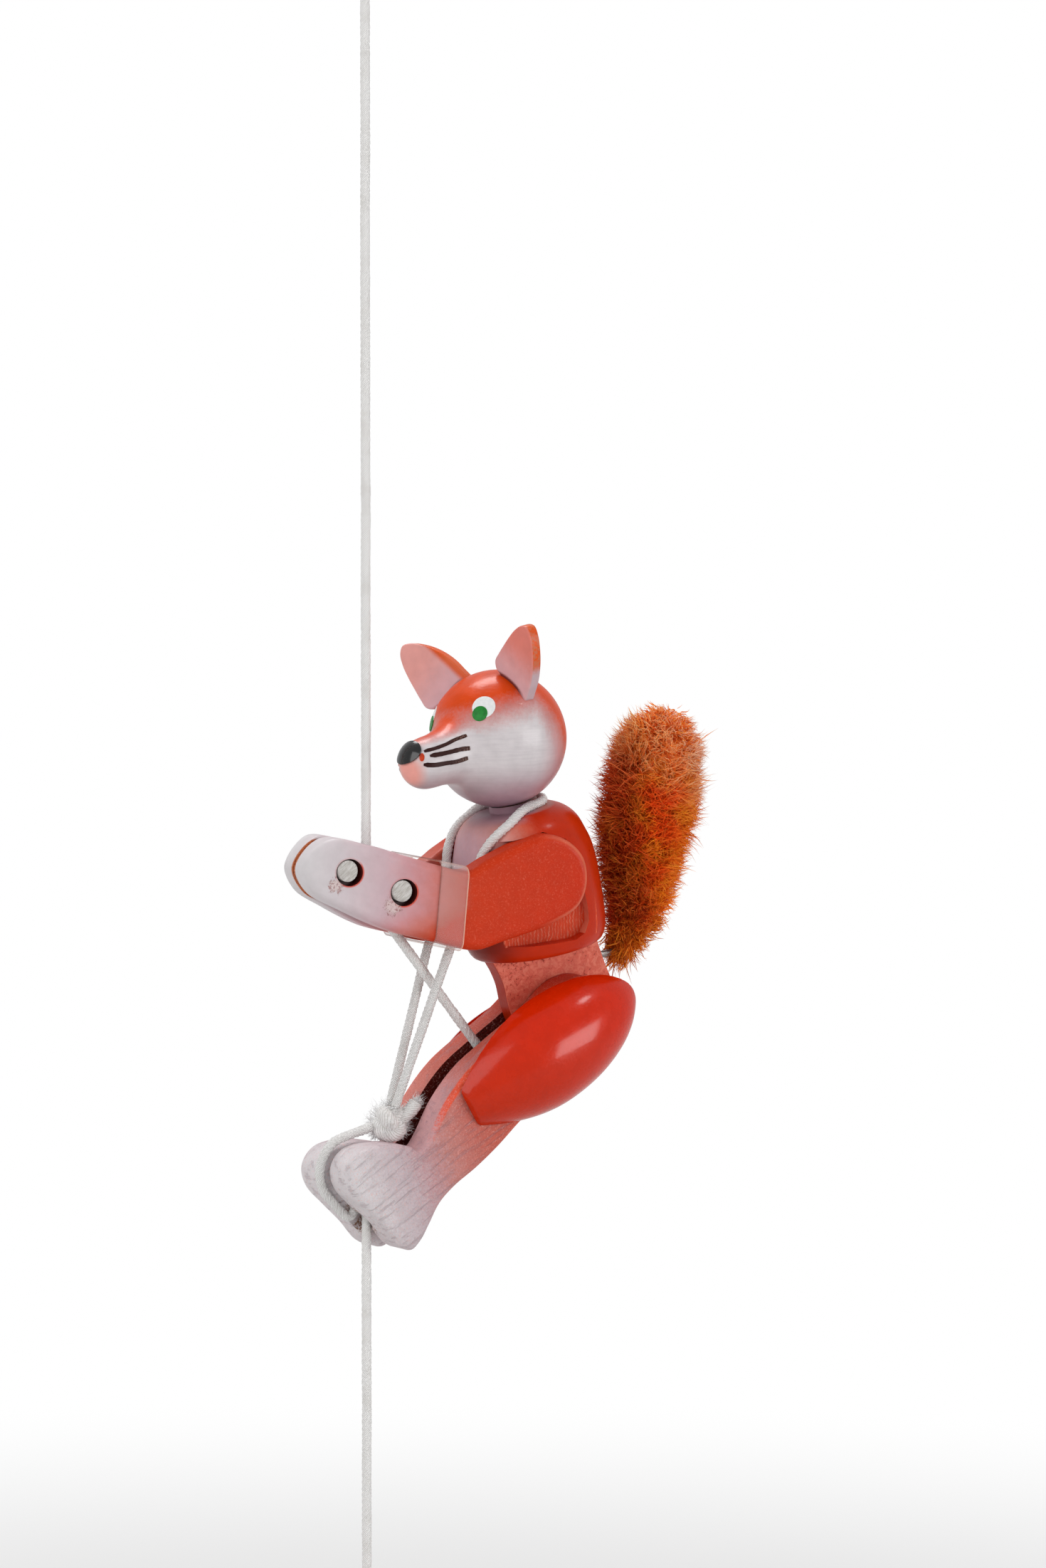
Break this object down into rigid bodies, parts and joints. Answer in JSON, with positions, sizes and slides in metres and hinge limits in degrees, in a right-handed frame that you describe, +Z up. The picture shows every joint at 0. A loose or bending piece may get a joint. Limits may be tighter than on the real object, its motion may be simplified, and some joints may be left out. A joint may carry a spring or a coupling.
{
  "type": "climbing fox toy",
  "caption": "Painted wooden fox that climbs a hanging cord, with gripping arms, a hinged hip returned by an elastic, and a brush tail.",
  "frame": {"origin": "inside the top of the hanging loop, where a hook holds the cord", "axes": "+Z up along the cord, the fox faces -X, its left side is -Y"},
  "size_m": [0.1048, 0.0439, 0.4189],
  "materials": {
    "cord": "braided, matt",
    "elastic": "covered elastic, matt",
    "bead_paint": "gloss paint",
    "pin_wood": "thin grey-white paint",
    "torso_paint": "gloss paint, sprayed to pale mauve in front",
    "head_paint": "gloss paint, sprayed to pale mauve below",
    "ear_paint": "satin paint",
    "bare_wood": "bare",
    "arm_paint": "satin paint, sprayed to pale mauve at the hands",
    "clear_film": "clear film",
    "fur": "fur pile",
    "tail_wire": "twisted wire",
    "leg_paint": "thin satin paint over grain",
    "thigh_paint": "gloss paint",
    "steel_pin": "drawn"
  },
  "bodies": {
    "line": {"hanging_loop": "cord", "loop_knot": "cord", "cord_upper": "cord", "cord_lower": "cord", "pull_bead": "bead_paint", "bottom_knot": "cord"},
    "grip": {"hand_pin_front": "pin_wood"},
    "upper_body": {"torso": "torso_paint", "head": "head_paint", "ear_left": "ear_paint", "ear_right": "ear_paint", "neck_dowel": "bare_wood", "shoulder_dowel": "bare_wood", "arm_left": "arm_paint", "arm_right": "arm_paint", "hand_pin_rear": "pin_wood", "arm_band": "clear_film", "tail_brush": "fur", "tail_wire": "tail_wire", "cord_middle": "cord", "elastic_loop": "elastic"},
    "legs": {"leg_left": "leg_paint", "leg_right": "leg_paint", "thigh_left": "thigh_paint", "thigh_right": "thigh_paint", "hip_axle": "bare_wood", "leg_cord_pin": "steel_pin", "elastic_knot": "elastic", "elastic_tail": "elastic"}
  },
  "joints": [
    {"name": "climb", "type": "slide", "parent": "line", "child": "grip", "axis": [0, 0, 1], "range_m": [-0.04, 0.145], "deforming": ["cord_upper", "cord_lower"]},
    {"name": "body_tilt", "type": "hinge", "parent": "grip", "child": "upper_body", "pos_m": [-0.0088, 0, -0.2307], "axis": [0, -1, 0], "range_deg": [-13.6, 2.8]},
    {"name": "hip_bend", "type": "hinge", "parent": "upper_body", "child": "legs", "pos_m": [0.05, 0, -0.2665], "axis": [0, -1, 0], "range_deg": [-5, 25], "stiffness_Nm_per_rad": 0.3, "springref_deg": -5.73, "deforming": ["cord_middle", "elastic_loop"]}
  ],
  "couplings": [
    {"joint": "body_tilt", "follows": "hip_bend", "ratio": -0.54}
  ]
}
